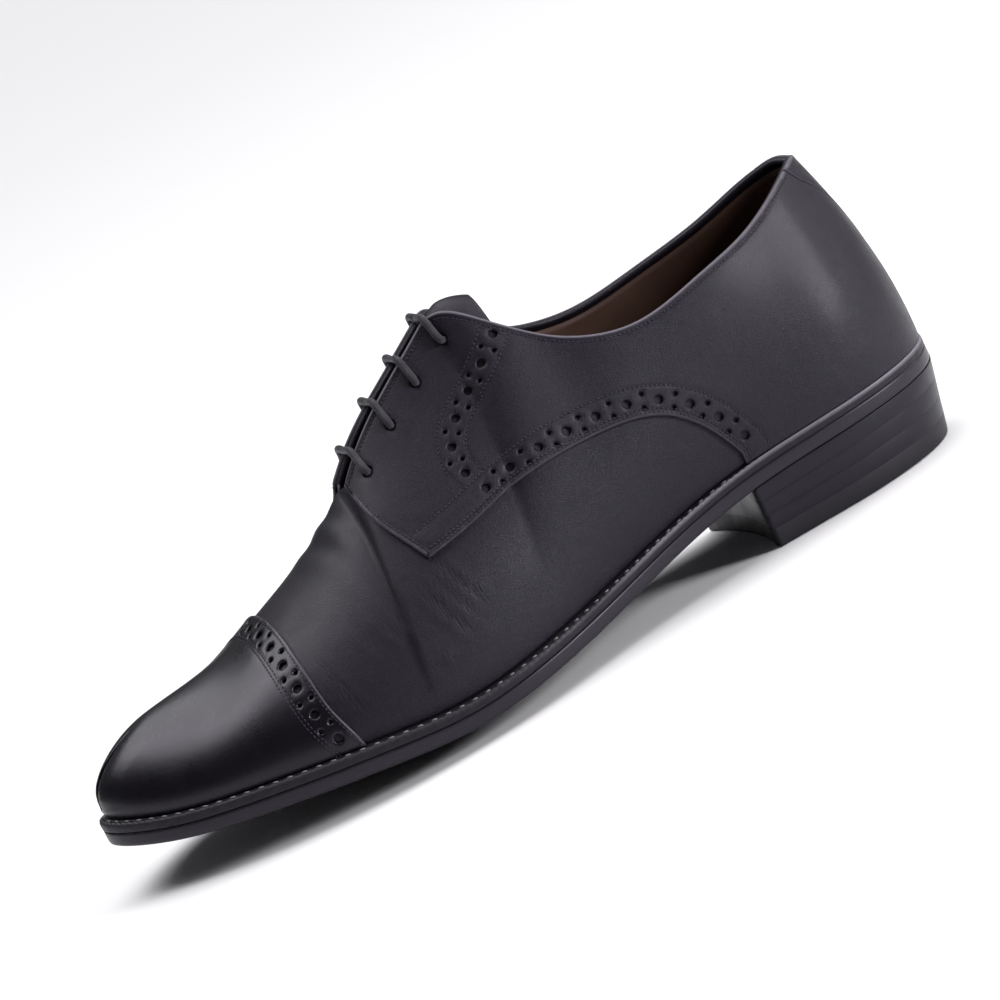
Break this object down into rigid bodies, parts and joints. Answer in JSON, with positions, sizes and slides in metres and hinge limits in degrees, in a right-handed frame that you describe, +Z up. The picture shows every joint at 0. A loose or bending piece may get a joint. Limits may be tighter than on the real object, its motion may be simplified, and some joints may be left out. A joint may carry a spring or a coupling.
{
  "type": "derby dress shoe",
  "caption": "Left leather derby shoe with a toe cap, winged quarters, laces, a welted leather sole and a stacked heel.",
  "frame": {"origin": "middle of the shoe's outline on the floor it stands on", "axes": "-X towards the toe, -Y towards the outer side, +Z up"},
  "size_m": [0.3044, 0.1006, 0.1154],
  "materials": {
    "upper_leather": "smooth semi-gloss",
    "polished_leather": "polished",
    "lining": "matte",
    "sole_edge": "dyed and waxed edge",
    "heel_stack": "dyed and waxed edge",
    "top_piece": "matte",
    "lace": "waxed cord"
  },
  "bodies": {
    "root": {"outsole": "sole_edge", "welt": "sole_edge", "insole": "lining", "heel_top_piece": "top_piece", "heel_lift_1": "heel_stack", "heel_lift_2": "heel_stack", "heel_lift_3": "heel_stack", "upper": "upper_leather", "toe_cap": "polished_leather", "quarter_outer": "upper_leather", "quarter_inner": "upper_leather", "back_stay": "upper_leather", "tongue": "upper_leather", "lace_bar_1": "lace", "lace_bar_2": "lace", "lace_bar_3": "lace", "lace_bar_4": "lace"}
  },
  "joints": []
}
